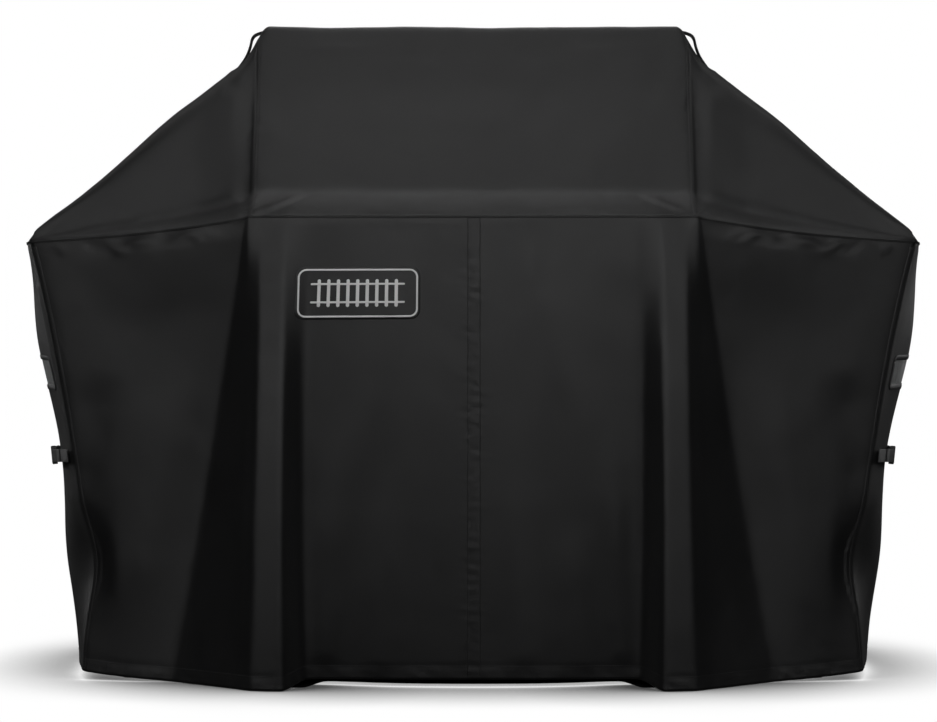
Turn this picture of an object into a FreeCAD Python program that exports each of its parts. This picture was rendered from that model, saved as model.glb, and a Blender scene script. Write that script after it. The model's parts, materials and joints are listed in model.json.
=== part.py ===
import FreeCAD, Part
import Sketcher
import math
import os
from FreeCAD import Placement, Rotation, Vector

# Fitted fabric cover for a large free-standing grill, stored as it hangs.
# Millimetres. X runs to the right seen from the front, the front faces -Y, +Z is up.
# The origin is the middle of the hem plane. Depths below are counted back from the
# front seam, and MID is the depth that lies on Y = 0.

os.makedirs("parts", exist_ok=True)
doc = FreeCAD.newDocument("GrillCover")
sheet = doc.addObject("Spreadsheet::Sheet", "Dimensions")

DIMS = {
    # cloth
    "fabric": 2.0,
    "tape_thick": 1.0,
    "tape_half": 12.5,
    "hem_height": 28.0,
    "facing_thick": 1.5,
    # hood over the lid
    "hood_half": 417.0,
    "hood_front_depth": 158.0,
    "hood_back_depth": 528.0,
    "cap_low": 1236.0,
    "cap_height": 24.0,
    "cap_round": 18.0,
    "ledge_depth": 70.0,
    "ledge_level": 930.0,
    "front_seam_level": 881.0,
    # vents, badge
    "vent_front": 135.0,
    "vent_back": 265.0,
    "vent_low": 562.0,
    "vent_high": 614.0,
    "vent_border": 8.0,
    "mesh_thick": 1.0,
    "border_thick": 1.2,
    "badge_near": 104.0,
    "badge_far": 325.0,
    "badge_low": 693.0,
    "badge_high": 780.0,
    "badge_thick": 0.8,
    "badge_round": 9.0,
    # webbing and side-release buckles
    "webbing_width": 25.0,
    "webbing_thick": 1.5,
    "loop_width": 30.0,
    "loop_thick": 1.8,
    "strap_level": 427.0,
    "buckle_depth": 200.0,
    "socket_length": 38.0,
    "socket_height": 34.0,
    "socket_thick": 10.0,
    "socket_lift": 2.4,
    "cavity_length": 26.0,
    "cavity_height": 27.0,
    "cavity_thick": 5.4,
    "window_length": 14.0,
    "slot_length": 4.6,
    "slot_height": 26.4,
    "bar_thick": 4.0,
    "plug_length": 22.0,
    "plug_height": 32.0,
    "plug_thick": 7.0,
    "prong_thick": 5.0,
    "tail_length": 68.0,
}
MID = 306.0

for row, (alias, value) in enumerate(DIMS.items(), start=1):
    sheet.set(f"A{row}", alias)
    sheet.set(f"B{row}", str(value))
    sheet.setAlias(f"B{row}", alias)
doc.recompute()


def dim(alias):
    return float(sheet.get(alias))


T = dim("fabric")

# ---------------------------------------------------------------- skirt stations
# One half of the ring seen from above, from the front seam round to the back seam.
# Each station gives x and depth at the top seam, at mid height and at the hem, and the
# levels of the top seam and of the hem.
MIDDLE = 440.0
FRONT = {
    "seam": ((0, 0, 0), (0, 6, 22), 881, 6),
    "flat": ((150, 155, 155), (0, 7, 27), 881, 5),
    "valley": ((300, 312, 312), (0, 12, 48), 881, 4),
    "ridge": ((375, 378, 372), (0, -4, -10), 881, 0.4),
    "flank": ((417, 412, 408), (0, 12, 22), 881, 0.2),
    "notch": ((470, 465, 475), (14, 40, 78), 868, 3),
    "panel": ((610, 585, 565), (52, 68, 74), 852, 8),
    "sweep": ((735, 685, 655), (80, 90, 88), 843, 13),
    "corner": ((845, 768, 749), (100, 106, 120), 837, 20),
}
SIDE = {
    "swell": ((848, 812, 770), (200, 200, 200), 837, 18),
    "side": ((850, 820, 778), (320, 320, 320), 837, 16),
    "tuck": ((848, 814, 774), (440, 440, 440), 837, 12),
    "heel": ((842, 772, 752), (545, 568, 585), 837, 6),
}
BACK = {
    "wing_back": ((620, 600, 580), (585, 592, 618), 850, 2),
    "back_edge": ((417, 417, 417), (600, 600, 608), 862, 0),
    "back_fold": ((220, 220, 220), (600, 606, 622), 862, 0),
    "back_seam": ((0, 0, 0), (600, 604, 612), 862, 0),
}
RING = {**FRONT, **SIDE, **BACK}
NAMES = list(RING)
LEVELS = (None, 680.0, 520.0, 470.0, 350.0, 200.0)


def bow(values, share, middle):
    """The value a share of the way down a line through three given values."""
    top, mid, low = values
    return (top * (share - middle) * (share - 1) / middle
            + mid * share * (1 - share) / (middle * (1 - middle))
            + low * share * (share - middle) / (1 - middle))


def station(name, level):
    xs, depths, top, hem = RING[name]
    share = (top - level) / (top - hem)
    middle = (top - MIDDLE) / (top - hem)
    return Vector(bow(xs, share, middle), bow(depths, share, middle) - MID, level)


def level_of(name, index):
    top, hem = RING[name][2:]
    if index == 0:
        return top
    if index < len(LEVELS):
        return LEVELS[index]
    return hem + (dim("hem_height") if index == len(LEVELS) else 0)


def inward(before, here, after):
    """The mitred step of one cloth thickness into the cover, seen from above."""
    normals = []
    for a, b in ((before, here), (here, after)):
        if a is None or b is None:
            continue
        run = b - a
        normals.append(Vector(-run.y, run.x, 0).normalize())
    total = normals[0] + normals[-1]
    return total * (T / (1 + normals[0].dot(normals[-1])))


class Rail:
    """A line along the cloth: points on its outer face and the step to its inner face."""

    def __init__(self, points, steps, marks):
        self.points, self.steps, self.marks = points, steps, marks

    def curve(self, out):
        points = [p - s * (out / T) for p, s in zip(self.points, self.steps)]
        if len(points) == 2:
            line = Part.LineSegment(*points)
            return line
        curve = Part.BSplineCurve()
        curve.interpolate(Points=points, Parameters=self.marks)
        return curve

    def edge(self, out, span=None):
        if span is None:
            return self.curve(out).toShape()
        return self.curve(out).toShape(*span)

    def at(self, mark, out=0.0):
        return self.curve(out).value(mark)


def between(upper, lower, share):
    """The rail a share of the way from one rail to the next."""
    points = [a + (b - a) * share for a, b in zip(upper.points, lower.points)]
    steps = [a + (b - a) * share for a, b in zip(upper.steps, lower.steps)]
    return Rail(points, steps, upper.marks)


def ring_rails(names, marks):
    rails = []
    for index in range(len(LEVELS) + 2):
        spots = {n: station(n, level_of(n, index)) for n in NAMES}
        steps = {}
        for k, n in enumerate(NAMES):
            before = spots[NAMES[k - 1]] if k else None
            after = spots[NAMES[k + 1]] if k + 1 < len(NAMES) else None
            steps[n] = inward(before, spots[n], after)
        for n in ("seam", "back_seam"):
            steps[n] = Vector(0, T if n == "seam" else -T, 0)
        steps["flank"] = Vector(0, T, 0)
        steps["back_edge"] = Vector(0, -T, 0)
        rails.append(Rail([spots[n] for n in names], [steps[n] for n in names], marks))
    return rails


CENTRE = ring_rails(("seam", "flat", "valley", "ridge", "flank"),
                    (0.0, 150.0, 300.0, 375.0, 417.0))
OUTER = ring_rails(("flank", "notch", "panel", "sweep", "corner"),
                   (417.0, 470.0, 610.0, 735.0, 845.0))
WALL = ring_rails(("corner", "swell", "side", "tuck", "heel"),
                  (100.0, 200.0, 320.0, 440.0, 545.0))
REAR = ring_rails(("heel", "wing_back", "back_edge"), (0.0, 225.0, 430.0))
SPINE = ring_rails(("back_edge", "back_fold", "back_seam"), (0.0, 197.0, 417.0))

# ---------------------------------------------------------------- hood and wing rails
HALF = dim("hood_half")
CAP = dim("cap_low")
WING_LINE = ((417, 158), (434.5, 155), (459, 151), (600, 135), (750, 115), (838, 104))
WING_LEVEL = (1236, 1203.5, 1170.6, 1052.7, 927.5, 857)
WING_BACK = (528, 530, 532, 536, 540, 543)
WING_MARKS = (0.0, 37.0, 78.0, 262.0, 458.0, 571.0)


def wing_rail(depths, toward):
    points, steps = [], []
    for (x, _), depth, level in zip(WING_LINE, depths, WING_LEVEL):
        points.append(Vector(x, depth - MID, level))
        steps.append(Vector(-0.53, 0.79 * toward, -0.86) * T)
    steps[0] = Vector(-1, toward, 0) * T
    steps[-1] = Vector(-1, toward, -0.47) * T
    return Rail(points, steps, WING_MARKS)


FRONT_ROLL = wing_rail([d for _, d in WING_LINE], 1)
BACK_ROLL = wing_rail(WING_BACK, -1)
FRONT_FOOT, BACK_FOOT = OUTER[0], REAR[0]


def middle_point(a, b):
    return (a + b) * 0.5


LEDGE_STEP = Vector(0, 0.86, -0.62) * T
ledge_start = Vector(HALF, dim("ledge_depth") - MID, dim("ledge_level"))
LEDGE_FADE = Rail(
    [ledge_start, Vector(600, 92 - MID, 888), Vector(730, 104 - MID, 866),
     middle_point(FRONT_FOOT.points[-1], FRONT_ROLL.points[-1])],
    [LEDGE_STEP, Vector(0, 0.9, -0.45) * T, Vector(-0.2, 0.95, -0.3) * T,
     middle_point(FRONT_FOOT.steps[-1], FRONT_ROLL.steps[-1])],
    (0.0, 190.0, 322.0, 434.0))
SHOULDER = Rail([FRONT_ROLL.points[-1], BACK_ROLL.points[-1]],
                [FRONT_ROLL.steps[-1], BACK_ROLL.steps[-1]], (0.0, 439.0))


# ---------------------------------------------------------------- building cloth
def flip(point):
    return Vector(-point.x, point.y, point.z)


def mirrored(rail):
    return Rail([flip(p) for p in rail.points], [flip(s) for s in rail.steps], rail.marks)


def turned(rail):
    """The same rail run from its other end."""
    marks = [rail.marks[-1] - m for m in reversed(rail.marks)]
    return Rail(rail.points[::-1], rail.steps[::-1], marks)


def ends(edge):
    first, last = edge.FirstParameter, edge.LastParameter
    return edge.valueAt(first), edge.valueAt(last)


def closed(faces):
    shell = Part.makeShell([f.Faces[0] for f in faces])
    shell.sewShape()
    solid = Part.makeSolid(shell)
    if solid.Volume < 0:
        solid.reverse()
    assert solid.isValid() and shell.isClosed()
    return solid


def sheet_of(rails, outside=0.0, inside=None, span=None):
    """A closed sheet between two depths of the cloth, ruled from rail to rail."""
    inside = -T if inside is None else inside
    outer = [r.edge(outside, span) for r in rails]
    inner = [r.edge(inside, span) for r in rails]
    faces = []
    for skin in (outer, inner):
        faces += [Part.makeRuledSurface(a, b) for a, b in zip(skin, skin[1:])]
    for k in (0, -1):
        faces.append(Part.makeRuledSurface(outer[k], inner[k]))
    for k in (0, 1):
        for j in range(len(rails) - 1):
            far = Part.makeLine(ends(outer[j])[k], ends(outer[j + 1])[k])
            near = Part.makeLine(ends(inner[j])[k], ends(inner[j + 1])[k])
            faces.append(Part.makeRuledSurface(far, near))
    return closed(faces)


made = []


def keep(label, shape):
    """A cloth piece as a document object of its own."""
    item = doc.addObject("Part::Feature", label)
    item.Label = label
    item.Shape = shape
    item.Placement = Placement()
    made.append(item)
    return item


def joined(*solids):
    whole = solids[0].fuse(list(solids[1:])).removeSplitter()
    assert len(whole.Solids) == 1
    solid = whole.Solids[0]
    if solid.Volume < 0:
        solid.reverse()
    return solid


def slices(upper, lower, *levels):
    """Rails at given levels between two neighbouring rails that each keep one level."""
    top, bottom = upper.points[0].z, lower.points[0].z
    return [between(upper, lower, (top - z) / (top - bottom)) for z in levels]


def straight(half_width, depth, level, end_step, toward):
    """A straight rail right across the hood."""
    points = [Vector(x, depth - MID, level) for x in (-half_width, half_width)]
    steps = [Vector(s * end_step, toward.y, toward.z) for s in (1, -1)]
    return Rail(points, steps, (0.0, 1.0))


SIDES = (("right", 1), ("left", -1))


def sided(rails, sign):
    return [mirrored(r) for r in rails] if sign < 0 else list(rails)


window = (dim("vent_front"), dim("vent_back"))
border, lip = dim("vent_border"), dim("facing_thick")
wide = (window[0] - border, window[1] + border)

for side, sign in SIDES:
    centre, outer = sided(CENTRE, sign), sided(OUTER, sign)
    wall, rear, spine = sided(WALL, sign), sided(REAR, sign), sided(SPINE, sign)
    front_roll, back_roll, fade, shoulder = sided(
        (FRONT_ROLL, BACK_ROLL, LEDGE_FADE, SHOULDER), sign)

    # skirt: front, back and end panels, the end panel cut out for its vent
    keep(f"front_skirt_{side}", joined(sheet_of(centre), sheet_of(outer)))
    keep(f"back_skirt_{side}", joined(sheet_of(rear), sheet_of(spine)))
    hole = slices(wall[1], wall[2], dim("vent_high"), dim("vent_low"))
    cutter = sheet_of(hole, 6.0, -8.0, window)
    whole_end = joined(sheet_of(wall), sheet_of([shoulder, wall[0]]))
    keep(f"side_skirt_{side}", whole_end.cut(cutter).Solids[0])

    # mesh behind the window and the binding round its edge
    grown = slices(wall[1], wall[2], dim("vent_high") + border, dim("vent_low") - border)
    keep(f"vent_mesh_{side}", sheet_of(grown, -T, -T - dim("mesh_thick"), wide))
    binding = sheet_of(grown, dim("border_thick"), 0.0, wide)
    keep(f"vent_binding_{side}", binding.cut(cutter).Solids[0])

    # shoulder wing: front gusset, slope and back gusset are one cloth
    keep(f"wing_{side}", joined(sheet_of([outer[0], fade, front_roll]),
                                sheet_of([front_roll, back_roll]),
                                sheet_of([turned(back_roll), rear[0]])))

    # the hem, turned up inside each panel
    keep(f"hem_front_{side}", joined(sheet_of(centre[-2:], -T, -T - lip),
                                     sheet_of(outer[-2:], -T, -T - lip)))
    keep(f"hem_side_{side}", sheet_of(wall[-2:], -T, -T - lip))
    keep(f"hem_back_{side}", joined(sheet_of(rear[-2:], -T, -T - lip),
                                    sheet_of(spine[-2:], -T, -T - lip)))

# hood front with its ledge, and hood back
back_foot = SPINE[0].points[0]
hood_front = sheet_of([
    straight(HALF, dim("hood_front_depth"), CAP, -T, Vector(0, T, 0)),
    straight(HALF, dim("ledge_depth"), dim("ledge_level"), 0, LEDGE_STEP),
    straight(HALF, 0, dim("front_seam_level"), 0, Vector(0, T, 0))])
hood_back = sheet_of([
    straight(HALF, dim("hood_back_depth"), CAP, -T, Vector(0, -T, 0)),
    straight(HALF, back_foot.y + MID, back_foot.z, 0, Vector(0, -T, 0))])
wings = [item.Shape for item in made if item.Label.startswith("wing_")]
for name, panel in (("front", hood_front), ("back", hood_back)):
    trimmed = max(panel.cut(wings).Solids, key=lambda solid: solid.Volume)
    keep(f"hood_{name}_panel", trimmed)

# tapes over the middle seams, and the badge low on the left of the front
tape = dim("tape_thick")
for name, rails, span in (("front", CENTRE, (0.0, dim("tape_half"))),
                          ("back", SPINE, (417.0 - dim("tape_half"), 417.0))):
    halves = [sheet_of(sided(rails, sign), tape, 0.0, span) for _, sign in SIDES]
    keep(f"{name}_seam_tape", joined(*halves))
patch = sheet_of(slices(*sided(CENTRE[:2], -1), dim("badge_high"), dim("badge_low")),
                 dim("badge_thick"), 0.0, (dim("badge_near"), dim("badge_far")))
box = patch.BoundBox
block = Part.makeBox(box.XLength, 60, box.ZLength, Vector(box.XMin, box.YMin - 30, box.ZMin))
upright = [e for e in block.Edges if abs(e.tangentAt(0).y) > 0.99]
keep("front_badge", patch.common(block.makeFillet(dim("badge_round"), upright)).Solids[0])


# ---------------------------------------------------------------- moulded parts
class Size:
    """A number that remembers the sheet expression it comes from."""

    def __init__(self, value, text):
        self.value, self.text = value, text

    def __add__(self, other):
        other = size(other)
        return Size(self.value + other.value, f"({self.text} + {other.text})")

    def __sub__(self, other):
        return self + size(other) * -1

    def __mul__(self, factor):
        return Size(self.value * factor, f"({self.text} * {factor})")

    def __neg__(self):
        return self * -1


def size(value):
    if isinstance(value, Size):
        return value
    if isinstance(value, str):
        return Size(dim(value), f"Dimensions.{value}")
    return Size(float(value), f"({float(value)})")


def outline(body, name, points, lift):
    """A closed polygon sketch over the body's base plane, every corner driven."""
    sketch = body.newObject("Sketcher::SketchObject", name)
    plane = [f for f in body.Origin.OriginFeatures if f.Role == "XY_Plane"][0]
    sketch.AttachmentSupport = [(plane, "")]
    sketch.MapMode = "FlatFace"
    lift = size(lift)
    sketch.AttachmentOffset = Placement(Vector(0, 0, lift.value), Rotation())
    sketch.setExpression("AttachmentOffset.Base.z", lift.text)
    corners = [(size(x), size(y)) for x, y in points]
    spots = [Vector(x.value, y.value, 0) for x, y in corners]
    for a, b in zip(spots, spots[1:] + spots[:1]):
        sketch.addGeometry(Part.LineSegment(a, b), False)
    count = len(corners)
    for k in range(count):
        sketch.addConstraint(Sketcher.Constraint("Coincident", k, 2, (k + 1) % count, 1))
    for k, pair in enumerate(corners):
        for kind, along in zip(("DistanceX", "DistanceY"), pair):
            index = sketch.addConstraint(
                Sketcher.Constraint(kind, -1, 1, k, 1, along.value))
            label = f"{kind[-1].lower()}{k}_"
            sketch.renameConstraint(index, label)
            sketch.setExpression(f"Constraints.{label}", along.text)
    return sketch


def block_points(left, right, half):
    left, right, half = size(left), size(right), size(half)
    return ((left, -half), (right, -half), (right, half), (left, half))


def grow(body, name, points, lift, thick):
    pad = body.newObject("PartDesign::Pad", name)
    pad.Profile = outline(body, name + "_sketch", points, lift)
    thick = size(thick)
    pad.Length = thick.value
    pad.setExpression("Length", thick.text)
    doc.recompute()
    return pad


def carve(body, name, points, lift, thick):
    """A pocket that starts at the lift and rises by the thickness."""
    before = body.Shape.Volume
    pocket = body.newObject("PartDesign::Pocket", name)
    pocket.Profile = outline(body, name + "_sketch", points, lift)
    thick = size(thick)
    pocket.Length = thick.value
    pocket.setExpression("Length", thick.text)
    pocket.Reversed = True
    doc.recompute()
    assert body.Shape.Volume < before - 1
    return pocket


def soften(body, name, radius, wanted):
    edges = [f"Edge{k}" for k, e in enumerate(body.Shape.Edges, start=1) if wanted(e)]
    tip = body.Tip
    fillet = body.newObject("PartDesign::Fillet", name)
    fillet.Base = (tip, edges)
    fillet.Radius = radius
    doc.recompute()
    return fillet


def upright_edge(edge):
    return abs(edge.tangentAt(edge.FirstParameter).z) > 0.99


def level_edge_at(level):
    return lambda edge: all(abs(v.Z - level) < 0.01 for v in edge.Vertexes)


def new_body(label):
    body = doc.addObject("PartDesign::Body", label)
    body.Label = label
    made.append(body)
    return body


# the roof: a shallow cap with rounded upper edges
roof = new_body("hood_roof_panel")
low, high = size("hood_front_depth") - MID, size("hood_back_depth") - MID
grow(roof, "cap", ((-size("hood_half"), low), (size("hood_half"), low),
                   (size("hood_half"), high), (-size("hood_half"), high)),
     "cap_low", "cap_height")
soften(roof, "cap_rounding", dim("cap_round"),
       level_edge_at(CAP + dim("cap_height")))
floor = [f"Face{k}" for k, f in enumerate(roof.Shape.Faces, start=1)
         if abs(f.CenterOfMass.z - CAP) < 0.01]
rounded = roof.Tip
hollow = roof.newObject("PartDesign::Thickness", "cap_hollow")
hollow.Base = (rounded, floor)
hollow.Value = T
hollow.setExpression("Value", "Dimensions.fabric")
hollow.Reversed = True
hollow.Mode = 0
hollow.Join = 0
doc.recompute()

# side-release buckle, drawn with its length along X, its height along Y, outward along Z
MOUTH = size(4)
BAR = 3.0


def make_socket(side):
    body = new_body(f"buckle_socket_{side}")
    back = MOUTH - "socket_length"
    lift, thick = size("socket_lift"), size("socket_thick")
    grow(body, "shell", block_points(back, MOUTH, size("socket_height") * 0.5), lift, thick)
    soften(body, "corners", 3.5, upright_edge)
    soften(body, "crown", 1.5, level_edge_at((lift + thick).value))
    inner = (thick - "cavity_thick") * 0.5 + lift
    carve(body, "cavity", block_points(MOUTH - "cavity_length", MOUTH + 1,
                                       size("cavity_height") * 0.5), inner, "cavity_thick")
    carve(body, "windows", block_points(MOUTH - "cavity_length" + 3,
                                        MOUTH - "cavity_length" + 3 + "window_length",
                                        size("socket_height") * 0.5 + 1),
          inner, "cavity_thick")
    half = size("slot_height") * 0.5
    slot_end = back + BAR + "slot_length"
    carve(body, "slot", block_points(back + BAR, slot_end, half), lift - 1, thick + 2)
    shelf = (thick - "bar_thick") * 0.5
    carve(body, "bar_under", block_points(back - 1, slot_end, half), lift - 1, shelf + 1)
    carve(body, "bar_over", block_points(back - 1, slot_end, half),
          lift + shelf + "bar_thick", shelf + 1)
    return body


def make_plug(side):
    body = new_body(f"buckle_plug_{side}")
    front = MOUTH + 4
    back = front + "plug_length"
    lift = size("socket_lift") + (size("socket_thick") - "plug_thick") * 0.5
    grow(body, "block", block_points(front, back, size("plug_height") * 0.5),
         lift, "plug_thick")
    soften(body, "corners", 3.0, upright_edge)
    soften(body, "crown", 1.2, level_edge_at((lift + "plug_thick").value))
    half = size("slot_height") * 0.5
    slot_start = back - BAR - "slot_length"
    carve(body, "slot", block_points(slot_start, back - BAR, half),
          lift - 1, size("plug_thick") + 2)
    shelf = (size("plug_thick") - "bar_thick") * 0.5
    carve(body, "bar_under", block_points(slot_start, back + 1, half), lift - 1, shelf + 1)
    carve(body, "bar_over", block_points(slot_start, back + 1, half),
          lift + shelf + "bar_thick", shelf + 1)
    return body


def make_prongs(side):
    """The plug's two spring arms and middle guide, cut from one flat outline."""
    body = new_body(f"buckle_prongs_{side}")
    half_outline = ((8, 11.5), (4.5, 11.5), (4.5, 10.8), (-5.5, 10.8), (-6.5, 15.2),
                    (-11, 15.2), (-18, 11.2), (-18, 8.2), (-10, 7.6), (4.5, 7.6),
                    (4.5, 2.4), (-15, 2.4), (-17, 0.8))
    whole = list(half_outline) + [(x, -y) for x, y in reversed(half_outline)]
    lift = size("socket_lift") + (size("socket_thick") - "prong_thick") * 0.5
    grow(body, "comb", whole, lift, "prong_thick")
    return body


# ---------------------------------------------------------------- webbing
def ribbon(label, path, thick, width):
    """Webbing: a path in the X-Z plane thickened and drawn out along Y."""
    left, right = [], []
    path = path[:1] + [b for a, b in zip(path, path[1:]) if math.dist(a, b) > 0.2]
    for k, (x, z) in enumerate(path):
        ax, az = path[max(k - 1, 0)]
        bx, bz = path[min(k + 1, len(path) - 1)]
        run = math.hypot(bx - ax, bz - az)
        nx, nz = -(bz - az) / run, (bx - ax) / run
        left.append(Vector(x + nx * thick / 2, 0, z + nz * thick / 2))
        right.append(Vector(x - nx * thick / 2, 0, z - nz * thick / 2))
    curves = []
    for points in (left, right):
        curve = Part.BSplineCurve()
        curve.interpolate(Points=points)
        curves.append(curve.toShape())
    caps = [Part.makeLine(left[0], right[0]), Part.makeLine(left[-1], right[-1])]
    profile = doc.addObject("Part::Feature", label + "_profile")
    profile.Shape = Part.Face(Part.Wire(Part.__sortEdges__([*curves, *caps])))
    item = doc.addObject("Part::Extrusion", label)
    item.Label = label
    item.Base = profile
    item.DirMode = "Custom"
    item.Dir = Vector(0, 1, 0)
    item.Solid = True
    for end in ("LengthFwd", "LengthRev"):
        item.setExpression(end, f"Dimensions.{width} / 2")
    made.append(item)
    return item


def corner_arc(cx, cz, radius, start, stop, count):
    """Points on an arc, angles in degrees from +X towards +Z."""
    angles = [math.radians(start + (stop - start) * k / (count - 1)) for k in range(count)]
    return [(cx + radius * math.cos(a), cz + radius * math.sin(a)) for a in angles]


def line_points(a, b, count):
    return [(a[0] + (b[0] - a[0]) * k / count, a[1] + (b[1] - a[1]) * k / count)
            for k in range(count)]


web, sit = dim("webbing_thick"), 0.4
TAIL_DROP = 15.4


def strap_paths(frame, rail):
    """The two strap paths in the buckle's own plane: along the wall, then round its bar."""
    back_turn = frame.inverse()

    def on_wall(mark):
        spot = back_turn.multVec(rail.at(mark))
        return spot.x, spot.z + sit + web / 2

    # front strap: sewn end, up to the socket, under its bar, round it and back
    bar_left = 4 - dim("socket_length")
    middle = dim("socket_lift") + dim("socket_thick") / 2
    reach = dim("bar_thick") / 2 + 0.25 + web / 2
    bend, turn = 1.7, bar_left + BAR
    sewn = [on_wall(m) for m in (112, 116, 120, 124)]
    lead = (bar_left - 4, middle - reach)
    rise = line_points(sewn[-1], lead, 10)
    front = sewn[:-1] + rise + line_points(lead, (turn - 1.2, lead[1]), 5)
    front += corner_arc(turn - 0.5, middle - reach + bend, bend, -90, 0, 6)
    front += corner_arc(turn - 0.5, middle + reach - bend, bend, 0, 90, 6)
    front += line_points((turn - 1.5, middle + reach), (bar_left - 1, middle + reach), 4)
    lap = [(x, z + web + 0.3) for x, z in reversed(rise[5:9])]
    front += line_points((bar_left - 1, middle + reach), lap[0], 7) + lap

    # back strap: sewn end, forward along the wall, under the plug's bar and up round it
    bar_right = 8 + dim("plug_length")
    turn = bar_right - BAR
    lead = (bar_right + 4, middle - reach)
    sewn = [on_wall(m) for m in range(430, 299, -13)]
    rear = sewn + line_points(sewn[-1], lead, 10)[1:]
    rear += line_points(lead, (turn + 0.5, lead[1]), 5)
    rear += corner_arc(turn + 0.5, middle - reach + bend, bend, -90, -180, 6)
    rear += corner_arc(turn + 0.5, middle + reach - bend, bend, 180, 90, 6)
    rear += line_points((turn + 1.5, middle + reach), (bar_right, middle + reach), 2)
    return front, rear, (bar_right, middle + reach)


for side, sign in SIDES:
    wall = sided(WALL, sign)
    strap_rail, above, below = slices(wall[3], wall[4], dim("strap_level"),
                                      dim("strap_level") + 12, dim("strap_level") - 12)
    place = dim("buckle_depth")
    origin = strap_rail.at(place)
    along = (strap_rail.at(place + 5) - strap_rail.at(place - 5)).normalize()
    upward = above.at(place) - below.at(place)
    outward = along.cross(upward) * sign
    outward.normalize()
    height = outward.cross(along)
    frame = Placement(origin, Rotation(along, height, outward, "ZXY"))
    for make in (make_socket, make_plug, make_prongs):
        make(side).Placement = frame
    front, rear, pivot = strap_paths(frame, strap_rail)
    ribbon(f"strap_front_{side}", front, web, "webbing_width").Placement = frame
    ribbon(f"strap_rear_{side}", rear, web, "webbing_width").Placement = frame
    start = (pivot[0] + 1.6, pivot[1])
    finish = (start[0] + dim("tail_length"), start[1] - TAIL_DROP)
    tail = line_points(start, finish, 6) + [finish]
    ribbon(f"strap_tail_{side}", tail, web, "webbing_width").Placement = frame
    hinge = frame.multVec(Vector(pivot[0] + 0.8, 0, pivot[1]))
    print("FRAME", side, "along", tuple(round(v, 5) for v in along),
          "height", tuple(round(v, 5) for v in height),
          "outward", tuple(round(v, 5) for v in outward),
          "hinge", tuple(round(v, 2) for v in hinge))

# hanging loops: webbing from the roof over to the shoulder, standing off the corner
for side, sign in SIDES:
    lift = dim("loop_thick") / 2 + 0.2
    top = CAP + dim("cap_height") + lift
    path = [(368, top), (378, top), (388, top), (397, top), (408, top - 0.6),
            (419, top - 3.5), (428, top - 8.5), (432, top - 15), (434, top - 24),
            (436.6, top - 36), (440.5, top - 49), (446.5, 1198.4), (455, 1185.3)]
    path += [(459 + 8.0, 1170.6 + 0.4), (476.5, 1163.0), (487, 1154.3)]
    path = [(sign * x, z) for x, z in path]
    loop = ribbon(f"hanging_loop_{side}", path, dim("loop_thick"), "loop_width")
    loop.Placement = Placement(Vector(0, 215 - MID, 0), Rotation())

doc.recompute()
for item in made:
    assert item.Shape.isValid() and item.Shape.Solids, item.Label
    item.Shape.exportStep(f"parts/{item.Label}.step")
    print(item.Label, len(item.Shape.Solids), round(item.Shape.Volume / 1000, 2), item.State)
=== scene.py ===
import copy
import json
import math

import bmesh
import bpy
import numpy as np
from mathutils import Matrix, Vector

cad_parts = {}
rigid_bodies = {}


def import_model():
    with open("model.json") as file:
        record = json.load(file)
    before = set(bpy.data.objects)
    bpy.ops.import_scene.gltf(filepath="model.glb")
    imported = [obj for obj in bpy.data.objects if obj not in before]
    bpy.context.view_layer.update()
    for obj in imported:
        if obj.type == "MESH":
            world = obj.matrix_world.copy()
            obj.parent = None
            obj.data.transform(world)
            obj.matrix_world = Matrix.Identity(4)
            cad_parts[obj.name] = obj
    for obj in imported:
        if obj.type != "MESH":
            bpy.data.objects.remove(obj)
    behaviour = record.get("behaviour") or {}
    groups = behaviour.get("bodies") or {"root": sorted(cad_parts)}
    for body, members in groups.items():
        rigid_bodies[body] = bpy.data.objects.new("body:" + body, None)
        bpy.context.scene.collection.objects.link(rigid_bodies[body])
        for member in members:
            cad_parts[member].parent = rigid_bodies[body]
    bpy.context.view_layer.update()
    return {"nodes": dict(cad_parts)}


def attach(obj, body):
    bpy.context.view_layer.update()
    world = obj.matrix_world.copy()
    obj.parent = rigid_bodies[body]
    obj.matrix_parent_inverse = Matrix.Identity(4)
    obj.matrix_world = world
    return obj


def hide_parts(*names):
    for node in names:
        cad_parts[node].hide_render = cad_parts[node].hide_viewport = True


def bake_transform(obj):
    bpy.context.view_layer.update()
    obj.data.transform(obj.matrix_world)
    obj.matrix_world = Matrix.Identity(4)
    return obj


# Grill cover. Metres, X right seen from the front, front faces -Y, +Z up.
# The cloth is one closed ring of skirt under a hood with two wings. Each is worked out
# as a grid of points, folded, seamed and then cut into the panels of the real cover.
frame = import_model()

MM = 0.001
MID = 306.0  # the depth behind the front seam, in mm, that lies on Y = 0
SIDES = (("right", 1), ("left", -1))


# ---- small maths
def gauss_rows(count, sigmas, wrap=False):
    """A matrix that smooths a line of points, each by its own number of points."""
    index = np.arange(count)
    gap = np.abs(index[:, None] - index[None, :])
    if wrap:
        gap = np.minimum(gap, count - gap)
    weight = np.exp(-0.5 * (gap / np.maximum(np.asarray(sigmas)[:, None], 1e-3)) ** 2)
    return weight / weight.sum(1, keepdims=True)


def step(x, low, high):
    t = np.clip((np.asarray(x, float) - low) / (high - low), 0, 1)
    return t * t * (3 - 2 * t)


def hump(x, centre, half):
    """1 at the centre, smoothly 0 at half a width away."""
    t = np.clip(1 - ((np.asarray(x, float) - centre) / half) ** 2, 0, 1)
    return t * t


def bell(x, centre, width):
    return np.exp(-((np.asarray(x, float) - centre) / width) ** 2)


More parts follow.
